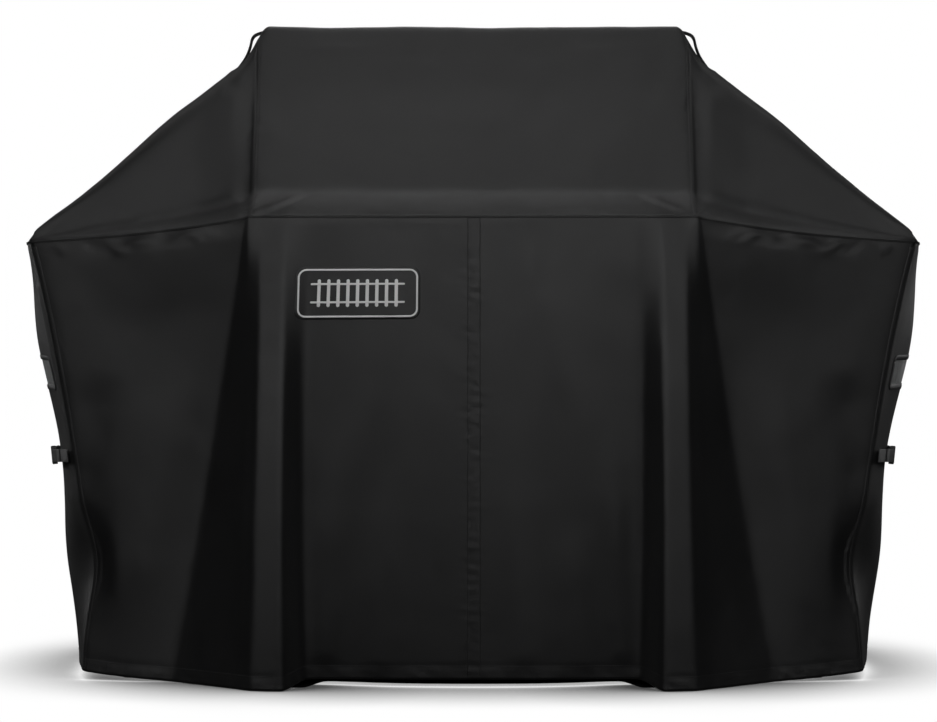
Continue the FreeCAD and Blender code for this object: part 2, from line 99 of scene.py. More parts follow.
def make_noise(seed, waves, low, high):
    """Soft noise over a plane: a sum of sine waves with lengths between low and high."""
    dice = np.random.default_rng(seed)
    turn = dice.uniform(0, 2 * np.pi, waves)
    length = np.exp(dice.uniform(np.log(low), np.log(high), waves))
    phase = dice.uniform(0, 2 * np.pi, waves)
    share = length / length.max()

    def noise(u, v):
        total = 0.0
        for a, l, p, s in zip(turn, length, phase, share):
            total = total + s * np.sin((u * np.cos(a) + v * np.sin(a)) * 2 * np.pi / l + p)
        return total / math.sqrt(waves)
    return noise


INSIDE = np.array([0.0, 0.0, 450.0])  # a place well inside the cover, mm


def normals_of(grid):
    """Unit normals of a grid of points in mm, turned away from the cover's inside."""
    n = np.cross(np.gradient(grid, axis=1), np.gradient(grid, axis=0))
    n /= np.maximum(np.linalg.norm(n, axis=2, keepdims=True), 1e-9)
    return -n if (n * (grid - INSIDE)).sum() < 0 else n


def raised(grid, lift):
    return grid + normals_of(grid) * lift[..., None]


def lengths_of(grid, axis):
    run = np.linalg.norm(np.diff(grid, axis=axis), axis=2)
    pad = [(0, 0), (0, 0)]
    pad[axis] = (1, 0)
    return np.cumsum(np.pad(run, pad), axis=axis)


def line_length(points):
    """Distance along a line of points, up to each of them."""
    return np.concatenate([[0], np.cumsum(np.linalg.norm(np.diff(points, axis=0), axis=1))])


def points_at(at, marks, points):
    """Points at given marks along a line of points that has marks of its own."""
    return np.stack([np.interp(at, marks, points[:, k]) for k in range(3)], axis=1)


def resample(points, count):
    return points_at(np.linspace(0, 1, count), np.linspace(0, 1, len(points)), points)


def crease(x, z, start, end, height, width, taper):
    """The lift of a soft fold from one (x, z) to another, which tapers at its ends."""
    (x0, z0), (x1, z1) = start, end
    run = math.hypot(x1 - x0, z1 - z0)
    dx, dz = (x1 - x0) / run, (z1 - z0) / run
    along = ((x - x0) * dx + (z - z0) * dz) / run
    fade = step(along, 0, taper[0]) * (1 - step(along, 1 - taper[1], 1))
    return height * fade * bell((x - x0) * dz - (z - z0) * dx, 0, width)


# ---- skirt stations, mm
# x and depth at the top seam, at mid height and at the hem, level of seam and hem, and
# how softly the cloth turns there.
MIDDLE = 440.0
FRONT_TOP = 881
FRONT = {
    "seam": ((0, 0, 0), (0, 6, 24), FRONT_TOP, 14, 14),
    "flat": ((150, 155, 158), (0, 8, 30), FRONT_TOP, 13, 40),
    "valley": ((300, 318, 317), (0, 25, 64), FRONT_TOP, 9, 12),
    "ridge_in": ((350, 352, 350), (-2, -32, -30), FRONT_TOP, 0.4, 7),
    "ridge_out": ((394, 404, 413), (5, -21, -22), FRONT_TOP, 0.4, 6),
    "flank": ((417, 430, 450), (4, 17, 5), FRONT_TOP, 0.4, 11),
    "notch": ((426, 496, 574), (8, 72, 84), 876, 1, 10),
    "panel": ((606, 618, 648), (52, 80, 93), 852, 6, 40),
    "sweep": ((735, 694, 702), (80, 90, 102), 843, 11, 30),
    "corner": ((849, 768, 748), (100, 106, 112), 837, 16, 11),
}
SIDE = {
    "swell": ((868, 812, 772), (200, 200, 200), 837, 26, 30),
    "side": ((872, 817, 778), (320, 320, 320), 837, 24, 40),
    "tuck": ((866, 813, 774), (440, 440, 440), 837, 18, 36),
    "heel": ((842, 772, 752), (545, 568, 585), 837, 8, 14),
}
BACK = {
    "wing_back": ((620, 600, 580), (585, 592, 616), 850, 3, 34),
    "back_edge": ((417, 417, 417), (600, 600, 608), 862, 0.6, 20),
    "back_fold": ((220, 220, 220), (600, 606, 622), 862, 0.6, 30),
    "back_seam": ((0, 0, 0), (600, 604, 612), 862, 0.6, 14),
}
HALF_RING = {**FRONT, **SIDE, **BACK}
STEP = 5.0      # mm between the grid's points
ROWS = 178


def bow(values, share, middle):
    top, mid, low = values
    return (top * (share - middle) * (share - 1) / middle
            + mid * share * (1 - share) / (middle * (1 - middle))
            + low * share * (share - middle) / (1 - middle))


share = np.linspace(0, 1, ROWS)
names = list(HALF_RING)
spots = {}
for name, (xs, depths, top, hem, soft) in HALF_RING.items():
    middle = (top - MIDDLE) / (top - hem)
    spots[name] = np.stack([bow(xs, share, middle), bow(depths, share, middle) - MID,
                            top + (hem - top) * share], axis=1)
mid_row = ROWS // 2
around = [(n, 1) for n in names] + [(n, -1) for n in names[-2:0:-1]]
keys, marks = [], [0.0]
for n, sign in around:
    point = spots[n] * np.array([sign, 1, 1])
    if keys:
        marks.append(marks[-1] + np.linalg.norm(point[mid_row] - keys[-1][mid_row]))
    keys.append(point)
closing = np.linalg.norm(keys[0][mid_row] - keys[-1][mid_row])
ring_length = marks[-1] + closing
# every station falls on a grid point, so that seams and panel ends are exact
columns, station_at = [], {}
whole = marks + [ring_length]
for k, (n, sign) in enumerate(around):
    count = max(2, round((whole[k + 1] - whole[k]) / STEP))
    station_at[(n, sign)] = len(columns)
    columns += [(k, j / count) for j in range(count)]
COLS = len(columns)
soft_marks = np.array([HALF_RING[n][4] for n, _ in around] + [HALF_RING["seam"][4]])
ring = np.zeros((ROWS, COLS, 3))
sigma = np.zeros(COLS)
for c, (k, part) in enumerate(columns):
    a, b = keys[k], keys[(k + 1) % len(keys)]
    ring[:, c] = a + (b - a) * part
    sigma[c] = soft_marks[k] + (soft_marks[k + 1] - soft_marks[k]) * part
ring = np.einsum("cd,rdx->rcx", gauss_rows(COLS, sigma / STEP, wrap=True), ring)


# the side walls fill out above and below the strap
belly = 17 * bell(ring[..., 2], 650, 125) + 11 * bell(ring[..., 2], 235, 110)
belly *= step(ring[..., 1] + MID, 96, 190) * (1 - step(ring[..., 1] + MID, 420, 560))
ring[..., 0] += np.sign(ring[..., 0]) * belly * (np.abs(ring[..., 0]) > 740)

near_corner = bell(ring[..., 1] + MID, 108, 46) * step(np.abs(ring[..., 0]), 668, 748)
dent = 24 * bell(ring[..., 2], 225, 100) * near_corner
ring[..., 0] -= np.sign(ring[..., 0]) * dent
ring[..., 1] += 0.5 * dent


def col(name, sign=1):
    return station_at[(name, sign)]


def span(first, last):
    """Column numbers from one station round to another, both included."""
    last = last if last > first else last + COLS
    return np.arange(first, last + 1) % COLS


# ---- folds in the skirt
X, Z = ring[..., 0], ring[..., 2]
front = (ring[..., 1] < 0) & (np.abs(X) < 860)
push = np.zeros((ROWS, COLS))


def fold(start, end, height, width, taper, mirror=True):
    """A soft fold on the front from one (x, z) to another, so high and so wide in mm."""
    global push
    for sign in ((1, -1) if mirror else (1,)):
        push += crease(X * sign, Z, start, end, height, width, taper) * front


# the light band down each outer panel, and the hollow outside it
fold((540, 660), (670, 60), 6, 60, (0.35, 0.3))
fold((700, 600), (752, 330), -5, 40, (0.3, 0.3))
# short puckers hanging from the wing seam
for x0, z0, x1, z1, h, w in ((590, 852, 690, 812, 3.6, 13), (500, 868, 585, 838, 3.0, 12),
                             (700, 842, 652, 806, 2.4, 7), (676, 846, 628, 812, -1.6, 7),
                             (735, 840, 700, 806, -1.6, 7), (548, 864, 492, 826, 3.0, 8),
                             (524, 868, 470, 836, 2.0, 6), (590, 856, 552, 826, -1.8, 9),
                             (640, 850, 600, 822, 1.5, 7), (790, 836, 772, 806, 1.5, 7)):
    fold((x0, z0), (x1, z1), h, w, (0.10, 0.6))
# the cloth fills out under the wing seam
below = (FRONT_TOP - Z) - 0.13 * np.maximum(np.abs(X) - 420, 0)
push += 6.5 * front * step(below, 4, 42) * (1 - step(below, 42, 190)) \
    * hump(np.abs(X), 575, 200)
# long shallow draws in the middle
fold((120, 860), (230, 300), 2.2, 36, (0.3, 0.5))
fold((250, 500), (285, 20), 4.0, 26, (0.5, 0.1))
fold((60, 560), (95, 10), 3.0, 30, (0.6, 0.1), mirror=False)
fold((-150, 420), (-175, 10), 3.4, 34, (0.6, 0.1), mirror=False)
fold((170, 380), (205, 10), 2.6, 34, (0.6, 0.1), mirror=False)

slow = make_noise(11, 14, 160, 420)
fine = make_noise(12, 18, 40, 110)
tiny = make_noise(13, 22, 14, 34)
run_u = lengths_of(ring, 1)
run_v = lengths_of(ring, 0)
side_or_back = (ring[..., 1] > -190).astype(float)
push += 1.0 * slow(run_u, run_v * 0.6) + 0.25 * fine(run_u, run_v * 0.7)
beside_strap = bell(Z, 427, 60) * hump(ring[..., 1] + MID, 300, 170) * (np.abs(X) > 760)
push += side_or_back * (1 - 0.9 * beside_strap) * 3.0 * slow(run_u * 1.3 + 90, run_v * 0.35)
push -= 2.5 * beside_strap


def seam_pull(distance, depth=1.6, width=6.0):
    return -depth * bell(distance, 0, width)


top_gap = run_v
hem_gap = run_v[-1] - run_v
push += seam_pull(top_gap, 1.0, 6) + 0.35 * tiny(run_u, run_v) * bell(top_gap, 0, 22)
push += 0.5 * tiny(run_u, run_v + 50) * bell(hem_gap, 0, 26)
push += seam_pull(hem_gap - 26, 0.5, 4)
for name in ("seam", "back_seam"):
    c = col(name)
    gap = np.minimum(np.abs(run_u - run_u[:, c:c + 1]),
                     np.abs(run_u[:, -1:] + STEP - run_u + run_u[:, c:c + 1]))
    push += 0.42 * tiny(run_u, run_v * 1.4) * bell(gap, 0, 20)
hold_top = step(run_v, 0, 18)
ring = raised(ring, push * np.where(run_v < 18, 0.25 + 0.75 * hold_top, 1))

# ---- hood
HALF, CAP, TOP = 417.0, 1236.0, 1258.0
hood_cols = span(col("flank", -1), col("flank"))
NX = len(hood_cols)
foot = ring[0, hood_cols]                     # left flank round to right flank
back_cols = span(col("back_edge"), col("back_edge", -1))[::-1]
back_foot = resample(ring[0, back_cols], NX)
N_LEDGE, N_FACE, N_ROOF, N_BACK = 17, 62, 84, 76


def run_between(points, counts):
    """Points along a line of corners, with a given number of steps between each pair."""
    parts = [np.asarray(points[0], float)[None]]
    for a, b, n in zip(points, points[1:], counts):
        a, b = np.asarray(a, float), np.asarray(b, float)
        parts.append(a + (b - a) * (np.arange(1, n + 1) / n)[:, None])
    return np.concatenate(parts)


def hood_line(x, start, finish, sag):
    rise = 5
    return run_between(
        [start, (x, 70 - MID, 930), (x, 158 - MID, CAP), (x, 161 - MID, TOP - sag),
         (x, 526 - MID, TOP - sag), (x, 528 - MID, CAP), finish],
        [N_LEDGE, N_FACE, rise, N_ROOF - 2 * rise, rise, N_BACK])


LEDGE_OUT = np.array([0.0, -0.56, 0.83])


def eased(grid, soft):
    """Smooths a grid down its columns, but leaves its first and last rows in place."""
    edge_in = np.arange(len(grid))
    pin = step(edge_in, 0, 7) * (1 - step(edge_in, len(grid) - 8, len(grid) - 1))
    smooth = np.einsum("rs,scx->rcx", gauss_rows(len(grid), soft), grid)
    return grid + (smooth - grid) * pin[:, None, None]


def shape_front(line):
    """Hollows the ledge a little, and hollows the front under the lid's edge."""
    line = line.copy()
    hollow = 2.5 * np.sin(np.linspace(0, np.pi, N_LEDGE + 1))
    line[:N_LEDGE + 1] -= LEDGE_OUT * hollow[:, None]
    face = slice(N_LEDGE, N_LEDGE + N_FACE + 1)
    z = line[face, 2]
    line[face, 1] += 8.0 * np.clip(np.minimum((CAP - z) / 99.0, (z - 930.0) / 207.0), 0, 1)
    return line


xs = foot[:, 0]
hood = np.zeros((N_LEDGE + N_FACE + N_ROOF + N_BACK + 1, NX, 3))
for j in range(NX):
    x = xs[j]
    sag = 2.2 * (1 - (x / HALF) ** 2) + 0.7 * math.sin(x / 61.0)
    hood[:, j] = shape_front(hood_line(x, foot[j], back_foot[j], sag))
    near_side = np.clip(1 - (HALF - abs(x)) / 130.0, 0, 1) ** 2
    hood[N_LEDGE:N_LEDGE + N_FACE + 4, j, 1] += 3.0 * near_side
rows = len(hood)
turn = np.full(rows, 3.0)
for centre, soft in ((N_LEDGE + 42, 4.0), (N_LEDGE, 1.3), (N_LEDGE + N_FACE + 5, 2.0),
                     (N_LEDGE + N_FACE + N_ROOF - 5, 2.4)):
    turn[max(0, centre - 12):centre + 12] = soft
hood = eased(hood, turn)
# round the roof's ends
end_gap = HALF - np.abs(hood[..., 0])
lift = step(hood[..., 2], CAP - 30, TOP - 6)
hood[..., 2] -= lift * 20.0 * np.clip(1 - end_gap / 26.0, 0, 1) ** 2.2
hood[..., 0] -= np.sign(hood[..., 0]) * lift * 5.0 * np.clip(1 - end_gap / 26.0, 0, 1)

hu, hv = lengths_of(hood, 1), lengths_of(hood, 0)
HX, HZ = hood[..., 0], hood[..., 2]
is_front = hood[..., 1] < -60
lift_h = 1.1 * slow(hu + 700, hv) + 0.35 * fine(hu, hv + 300)
# two faint level draws under the front edge, and soft ones at the ledge's ends
for x0, z0, w, t, h in ((-250, 1212, 95, 9, 1.5), (255, 1210, 95, 9, 1.5),
                        (-120, 1196, 80, 12, -0.8), (140, 1198, 90, 12, -0.8)):
    lift_h += h * hump(HX, x0, w) * bell(HZ, z0, t) * is_front
for x0, z0, slope, h in ((365, 905, -0.42, 1.4), (-362, 905, 0.42, 1.4),
                         (330, 914, -0.5, -0.9), (-330, 914, 0.5, -0.9)):
    line = HZ - (z0 + slope * (HX - x0))
    lift_h += h * hump(HX, x0, 70) * bell(line, 0, 7) * (HZ < 960) * is_front
lift_h += seam_pull(hv, 1.0, 6) + 0.5 * tiny(hu, hv) * bell(hv, 0, 20)
side_gap = HALF - np.abs(HX)
lift_h += seam_pull(side_gap, 1.2, 6) * (HZ < CAP) + 0.5 * tiny(hv, hu) * bell(side_gap, 0, 18)
edge_in = np.arange(rows)
hold = step(edge_in, 0, 4) * (1 - step(edge_in, rows - 5, rows - 1))
hood = raised(hood, lift_h * hold[:, None])

# ---- wings
WING_X = np.array([417, 434.5, 459, 600, 750, 832, 843, 849.5])
WING_Z = np.array([1236, 1206, 1175, 1058, 932, 864, 853, 842])
WING_F = np.array([158, 155, 150, 129, 113, 105, 103, 101])
WING_B = np.array([528, 530, 532, 536, 540, 543, 544, 545])


def monotone(x, xp, yp):
    """A smooth line through points without overshoot."""
    h, d = np.diff(xp), np.diff(yp) / np.diff(xp)
    m = np.zeros(len(xp))
    m[0], m[-1] = d[0], d[-1]
    same = d[:-1] * d[1:] > 0
    w1, w2 = 2 * h[1:] + h[:-1], h[1:] + 2 * h[:-1]
    inner = np.zeros(len(d) - 1)
    inner[same] = (w1 + w2)[same] / (w1[same] / d[:-1][same] + w2[same] / d[1:][same])
    m[1:-1] = inner
    k = np.clip(np.searchsorted(xp, x) - 1, 0, len(h) - 1)
    t = (x - xp[k]) / h[k]
    return ((1 + 2 * t) * (1 - t) ** 2 * yp[k] + t * (1 - t) ** 2 * h[k] * m[k]
            + t * t * (3 - 2 * t) * yp[k + 1] + t * t * (t - 1) * h[k] * m[k + 1])


def make_wing(sign):
    mirror = np.array([sign, 1, 1])

    def top_edge(first, last):
        """The skirt's top edge between two stations, mirrored onto the right."""
        a, b = col(first, sign), col(last, sign)
        return ring[0, span(a, b) if sign > 0 else span(b, a)[::-1]] * mirror
    low, edge = top_edge("flank", "corner"), top_edge("corner", "heel")
    nu = len(low)
    rear = resample(top_edge("heel", "back_edge")[::-1], nu)
    inner = hood[:, -1 if sign > 0 else 0] * mirror
    reach = np.linspace(0, 1, nu)
    gx = HALF + (WING_X[-1] - HALF) * reach
    gz = monotone(gx, WING_X, WING_Z)
    puff = 13 * step(reach, 0.03, 0.16) * (1 - 0.92 * step(reach, 0.2, 0.85))
    gz = gz + 0.77 * puff
    gx_roll = gx + 0.64 * puff
    gf, gb = monotone(gx, WING_X, WING_F) - MID, monotone(gx, WING_X, WING_B) - MID
    ledge_z = 930 - (930 - 842) * reach ** 0.62
    ledge_d = 70 + (102 - 70) * reach ** 0.36 - MID
    grid = np.zeros((rows, nu, 3))
    for j in range(nu):
        start, finish = low[j], rear[j]
        ledge = np.array([gx[j], ledge_d[j], min(ledge_z[j], gz[j])])
        roll_f = np.array([gx_roll[j], gf[j], gz[j]])
        roll_b = np.array([gx_roll[j], gb[j], gz[j]])
        grid[:, j] = run_between([start, ledge, roll_f, roll_b, finish],
                                 [N_LEDGE, N_FACE, N_ROOF, N_BACK])
        fill = 4.0 * (1 - reach[j]) * np.sin(np.linspace(0, np.pi, N_LEDGE + 1))
        grid[:N_LEDGE + 1, j] += LEDGE_OUT * fill[:, None]
    soft = np.full(rows, 4.0)
    around_roll = np.abs(np.arange(rows) - (N_LEDGE + N_FACE))
    soft[around_roll < 26] = 9.0
    around_back = np.abs(np.arange(rows) - (N_LEDGE + N_FACE + N_ROOF))
    soft[around_back < 16] = 5.0
    grid = eased(grid, soft)
    # the first column is the hood's own edge, the last is the skirt's top edge
    grid_edge = np.concatenate([
        np.repeat(edge[:1], N_LEDGE + N_FACE, axis=0), resample(edge, N_ROOF + 1),
        np.repeat(edge[-1:], N_BACK, axis=0)])
    near = (1 - step(reach, 0, 0.10))[None, :, None]
    far = (step(reach, 0.955, 1.0) ** 1.6)[None, :, None]
    grid = grid + (inner[:, None] - grid[:, :1]) * near
    grid = grid + (grid_edge[:, None] - grid[:, -1:]) * far
    wu, wv = lengths_of(grid, 1), lengths_of(grid, 0)
    GX, GZ = grid[..., 0], grid[..., 2]
    up = 0.9 * slow(wu + 300 * sign, wv) + 0.25 * fine(wu, wv + 90 * sign)
    facing = grid[..., 1] < -110
    for x0, z0, x1, z1, h, w in ((455, 905, 560, 1035, 1.0, 16), (480, 880, 640, 985, -1.0, 18),
                                 (600, 866, 735, 925, 0.8, 13), (440, 1150, 500, 1195, 1.4, 9),
                                 (436, 1120, 520, 1185, -1.0, 12)):
        up += crease(GX, GZ, (x0, z0), (x1, z1), h, w, (0.3, 0.4)) * facing
    up += seam_pull(wv, 1.0, 7) + 0.6 * tiny(wu, wv) * bell(wv, 0, 22)
    up += seam_pull(wu, 1.0, 6) * (GZ < CAP) + 0.5 * tiny(wv, wu) * bell(wu, 0, 18)
    keep_edge = hold[:, None] * step(wu, 0, 12) * (1 - step(reach, 0.93, 0.99))[None, :]
    return raised(grid, up * keep_edge) * mirror


wings = {"right": make_wing(1), "left": make_wing(-1)}


# ---- making meshes
def placed(name, data):
    obj = bpy.data.objects.new(name, data)
    bpy.context.scene.collection.objects.link(obj)
    return obj


def new_object(name, verts, faces, uvs=None, smooth=True):
    mesh = bpy.data.meshes.new(name)
    mesh.from_pydata(np.asarray(verts).tolist(), [], [list(map(int, f)) for f in faces])
    if uvs is not None:
        layer = mesh.uv_layers.new(name="cloth")
        index = np.zeros(len(mesh.loops), dtype=np.int32)
        mesh.loops.foreach_get("vertex_index", index)
        layer.data.foreach_set("uv", np.asarray(uvs)[index].ravel())
    mesh.polygons.foreach_set("use_smooth", np.full(len(mesh.polygons), smooth))
    mesh.update()
    return placed(name, mesh)


def grid_faces(nr, nc, points, skip=None):
    r, c = np.meshgrid(np.arange(nr - 1), np.arange(nc - 1), indexing="ij")
    a = (r * nc + c).ravel()
    faces = np.stack([a, a + 1, a + nc + 1, a + nc], axis=1)
    if skip is not None:
        faces = faces[~skip.ravel()]
    centre = points[faces].mean(1)
    normal = np.cross(points[faces[:, 1]] - points[faces[:, 0]],
                      points[faces[:, 3]] - points[faces[:, 0]])
    if (normal * (centre - INSIDE * MM)).sum() < 0:
        faces = faces[:, ::-1]
    return faces


def grid_mesh(name, grid, uv_origin=(0.0, 0.0), skip=None):
    """A smooth mesh from a grid of points in mm, faces turned outward, UVs in metres."""
    nr, nc, _ = grid.shape
    points = (grid * MM).reshape(-1, 3)
    u = lengths_of(grid, 1) * MM + uv_origin[0]
    v = lengths_of(grid, 0) * MM + uv_origin[1]
    faces = grid_faces(nr, nc, points, skip)
    used, index = np.unique(faces, return_inverse=True)
    uvs = np.stack([u.ravel(), -v.ravel()], axis=1)
    return new_object(name, points[used], index.reshape(faces.shape), uvs[used])


def thicken(obj, thick):
    mod = obj.modifiers.new("thickness", "SOLIDIFY")
    mod.thickness = thick
    mod.offset = -1.0
    mod.use_rim = True


class Surface:
    """A grid of points that can be asked for a spot between its rows and columns."""

    def __init__(self, grid, wrap=False):
        self.wrap = grid.shape[1] if wrap else 0
        if wrap:
            wide = np.concatenate([grid[:, -2:], grid, grid[:, :3]], axis=1)
            normal = normals_of(wide)[:, 2:-2]
            grid = wide[:, 2:-2]
        else:
            normal = normals_of(grid)
        self.grid, self.normal = grid, normal
        self.down = np.linalg.norm(np.diff(grid, axis=0), axis=2).mean()
        self.over = np.linalg.norm(np.diff(grid, axis=1), axis=2).mean()

    def lifted(self, lift):
        """The same surface, so many mm further out."""
        other = copy.copy(self)
        other.grid = self.grid + self.normal * lift
        return other

    def at(self, rows, cols, lift=0.0):
        rows, cols = np.broadcast_arrays(np.asarray(rows, float), np.asarray(cols, float))
        nr, nc, _ = self.grid.shape
        rows = np.clip(rows, 0, nr - 1)
        cols = np.mod(cols, self.wrap) if self.wrap else np.clip(cols, 0, nc - 1)
        r0 = np.minimum(rows.astype(int), nr - 2)
        c0 = np.minimum(cols.astype(int), nc - 2)
        a, b = (rows - r0)[..., None], (cols - c0)[..., None]

        def mix(field):
            return ((1 - a) * ((1 - b) * field[r0, c0] + b * field[r0, c0 + 1])
                    + a * ((1 - b) * field[r0 + 1, c0] + b * field[r0 + 1, c0 + 1]))
        n = mix(self.normal)
        n /= np.linalg.norm(n, axis=-1, keepdims=True)
        return mix(self.grid) + n * np.asarray(lift)[..., None], n


skin = Surface(ring, wrap=True)
hood_skin = Surface(hood)


def dense(surface, corners, pitch=4.0, closed=False):
    """(row, column) points along a line of corners, a given number of mm apart."""
    corners = [np.asarray(c, float) for c in corners]
    if closed:
        corners.append(corners[0])
    out = []
    for a, b in zip(corners, corners[1:]):
        size = np.array([(b - a)[0] * surface.down, (b - a)[1] * surface.over])
        n = max(1, int(round(np.linalg.norm(size) / pitch)))
        out += [a + (b - a) * k / n for k in range(n)]
    if not closed:
        out.append(corners[-1])
    return np.array(out)


def beside(surface, path, offset, closed=False):
    """The path moved sideways over the surface by so many mm."""
    if closed:
        run = np.roll(path, -1, 0) - np.roll(path, 1, 0)
    else:
        run = np.gradient(path, axis=0)
    run = run * np.array([surface.down, surface.over])
    run /= np.maximum(np.linalg.norm(run, axis=1, keepdims=True), 1e-9)
    away = np.stack([-run[:, 1] / surface.down, run[:, 0] / surface.over], axis=1)
    return path + away * offset


def tape(name, surface, path, profile, closed=False, thick=0.5):
    """A strip of cloth along a path, with a profile of (mm across, mm of lift)."""
    lines = []
    for offset, lift in profile:
        spots = beside(surface, path, offset, closed)
        lines.append(surface.at(spots[:, 0], spots[:, 1], lift)[0])
    grid = np.stack(lines, axis=0)
    if closed:
        grid = np.concatenate([grid, grid[:, :1]], axis=1)
    obj = grid_mesh(name, grid)
    thicken(obj, thick * MM)
    return obj


RINGS = 4
AROUND = 5


def stitches(name, rows, pitch=5.2, length=3.7, radius=0.42, lift=0.35):
    """Thread along seams. rows: (surface, path) pairs; one small capsule for each stitch."""
    verts, faces = [], []
    total = 0
    for surface, path in rows:
        points, normal = surface.at(path[:, 0], path[:, 1])
        run = line_length(points)
        count = int(run[-1] / pitch)
        if count < 1:
            continue
        start = np.arange(count) * pitch + (run[-1] - count * pitch) / 2

        n = points_at(start, run, normal)
        a, b = points_at(start, run, points), points_at(start + length, run, points)
        axis = (b - a) / np.linalg.norm(b - a, axis=1, keepdims=True)
        side = np.cross(axis, n)
        side /= np.linalg.norm(side, axis=1, keepdims=True)
        for t, wide, up in ((0.0, 0.35, -0.5), (0.22, 1.0, 0.6), (0.78, 1.0, 0.6),
                            (1.0, 0.35, -0.5)):
            centre = a + (b - a) * t + n * (lift * up)
            for k in range(AROUND):
                angle = 2 * math.pi * k / AROUND
                verts.append(centre + radius * wide * (side * math.cos(angle)
                                                       + n * math.sin(angle)))
        block = RINGS * AROUND
        base = total + np.arange(count)
        for j in range(RINGS - 1):
            for k in range(AROUND):
                q = (k + 1) % AROUND
                faces.append(np.stack([base + (j * AROUND + k) * count,
                                       base + (j * AROUND + q) * count,
                                       base + ((j + 1) * AROUND + q) * count,
                                       base + ((j + 1) * AROUND + k) * count], axis=1))
        total += block * count
    verts = np.concatenate(verts) * MM
    faces = np.concatenate(faces)
    return new_object(name, verts, faces)


# ---- materials
class Look:
    """A material in the making, with short ways to add nodes to it."""

    def __init__(self, name):
        self.mat = bpy.data.materials.new(name)
        self.mat.use_nodes = True
        self.nodes, self.links = self.mat.node_tree.nodes, self.mat.node_tree.links
        self.shader = self.nodes["Principled BSDF"]

    def feed(self, node, inputs):
        """Sets a node's inputs, each to a value or to another node's output."""
        for key, value in inputs.items():
            if isinstance(value, bpy.types.NodeSocket):
                self.links.new(value, node.inputs[key])
            else:
                node.inputs[key].default_value = value
        return node

    def add(self, kind, inputs, **settings):
        node = self.nodes.new("ShaderNode" + kind)
        for key, value in settings.items():
            setattr(node, key, value)
        return self.feed(node, inputs)

    def maths(self, kind, *values):
        return self.add("Math", dict(enumerate(values)), operation=kind).outputs[0]

    def spread(self, value, low, high, start=0.0, stop=1.0):
        return self.add("MapRange", {"Value": value, "From Min": start, "From Max": stop,
                                     "To Min": low, "To Max": high}).outputs[0]

    def noise(self, coords, scale, detail):
        return self.add("TexNoise", {"Scale": scale, "Detail": detail,
                                     "Vector": coords}).outputs["Fac"]

    def bump(self, height, strength, distance):
        return self.add("Bump", {"Strength": strength, "Distance": distance,
                                 "Height": height}).outputs[0]


def weave_height(look, coords, pitch, axes, ribs):
    """Threads over and under, or ribs, a given number of metres apart."""
    split = look.add("SeparateXYZ", {0: coords})
    sx, sy = (look.maths("SINE", look.maths("MULTIPLY", split.outputs[k], math.pi / pitch))
              for k in axes)
    ax, ay = look.maths("ABSOLUTE", sx), look.maths("ABSOLUTE", sy)
    if ribs:
        return look.maths("ADD", look.maths("MULTIPLY", ay, 0.75),
                          look.maths("MULTIPLY", ax, 0.25))
    over = look.maths("GREATER_THAN", look.maths("MULTIPLY", sx, sy), 0.0)
    under = look.maths("SUBTRACT", 1.0, over)
    return look.maths("ADD", look.maths("MULTIPLY", ax, over),
                      look.maths("MULTIPLY", ay, under))


def cloth_material(name, colour, rough, pitch, bump, sheen=0.1, coords="UV", mottled=0.2,
                   axes=(0, 1), ribs=False, thread=(0.7, 1.15)):
    """Woven cloth: thread bump and tint, slow changes of tone and of gloss."""
    look = Look(name)
    place = look.add("TexCoord", {})
    height = weave_height(look, place.outputs[coords], pitch, axes, ribs)
    patch = look.noise(place.outputs["Object"], 5.0, 5.0)
    streak = look.noise(place.outputs["Object"], 38.0, 3.0)
    tone = look.maths("MULTIPLY", look.spread(patch, 1 - mottled, 1 + mottled, 0.3, 0.7),
                      look.spread(height, *thread))
    grey = look.add("CombineColor", {channel: tone for channel in range(3)})
    tint = look.add("Mix", {0: 1.0, 6: (*colour, 1), 7: grey.outputs[0]},
                    data_type="RGBA", blend_type="MULTIPLY")
    gloss = look.maths("ADD", look.maths("MULTIPLY", patch, 0.6),
                       look.maths("MULTIPLY", streak, 0.4))
    look.feed(look.shader, {
        "Base Color": tint.outputs[2],
        "Roughness": look.spread(gloss, rough - 0.06, rough + 0.06, 0.3, 0.7),
        "Specular IOR Level": 0.5, "Sheen Weight": sheen, "Sheen Roughness": 0.45,
        "Normal": look.bump(height, bump, 0.0003)})
    return look.mat


CLOTH = dict(rough=0.42, pitch=0.0011, bump=0.3, sheen=0.05)
cover_cloth = cloth_material("coated_polyester", (0.0085, 0.0085, 0.0088), **CLOTH)
tape_cloth = cloth_material("seam_cloth", (0.0082, 0.0082, 0.0085), **{**CLOTH, "rough": 0.43})
hem_cloth = cloth_material("hem_cloth", (0.0083, 0.0083, 0.0086), **{**CLOTH, "rough": 0.44})
lining = cloth_material("binding_cloth", (0.010, 0.010, 0.0105), **{**CLOTH, "rough": 0.55})
badge_cloth = cloth_material("badge_weave", (0.006, 0.006, 0.0062), 0.42, 0.0007, 0.25)
thread = cloth_material("thread", (0.014, 0.014, 0.0145), 0.5, 0.0009, 0.3,
                        coords="Object", sheen=0.2)
print_white = cloth_material("print_white", (0.9, 0.9, 0.9), 0.55, 0.0007, 0.15,
                             thread=(0.93, 1.0), mottled=0.03)
net_yarn = cloth_material("net_yarn", (0.42, 0.43, 0.43), 0.6, 0.0008, 0.3,
                          coords="Object", sheen=0.2, mottled=0.08)
strap_web = cloth_material("strap_web", (0.011, 0.011, 0.0115), 0.55, 0.0017, 0.9,
                           coords="Object", axes=(1, 2), ribs=True, sheen=0.2)
loop_web = cloth_material("loop_web", (0.011, 0.011, 0.0115), 0.55, 0.0017, 0.9,
                          coords="Object", axes=(0, 1), ribs=True, sheen=0.2)


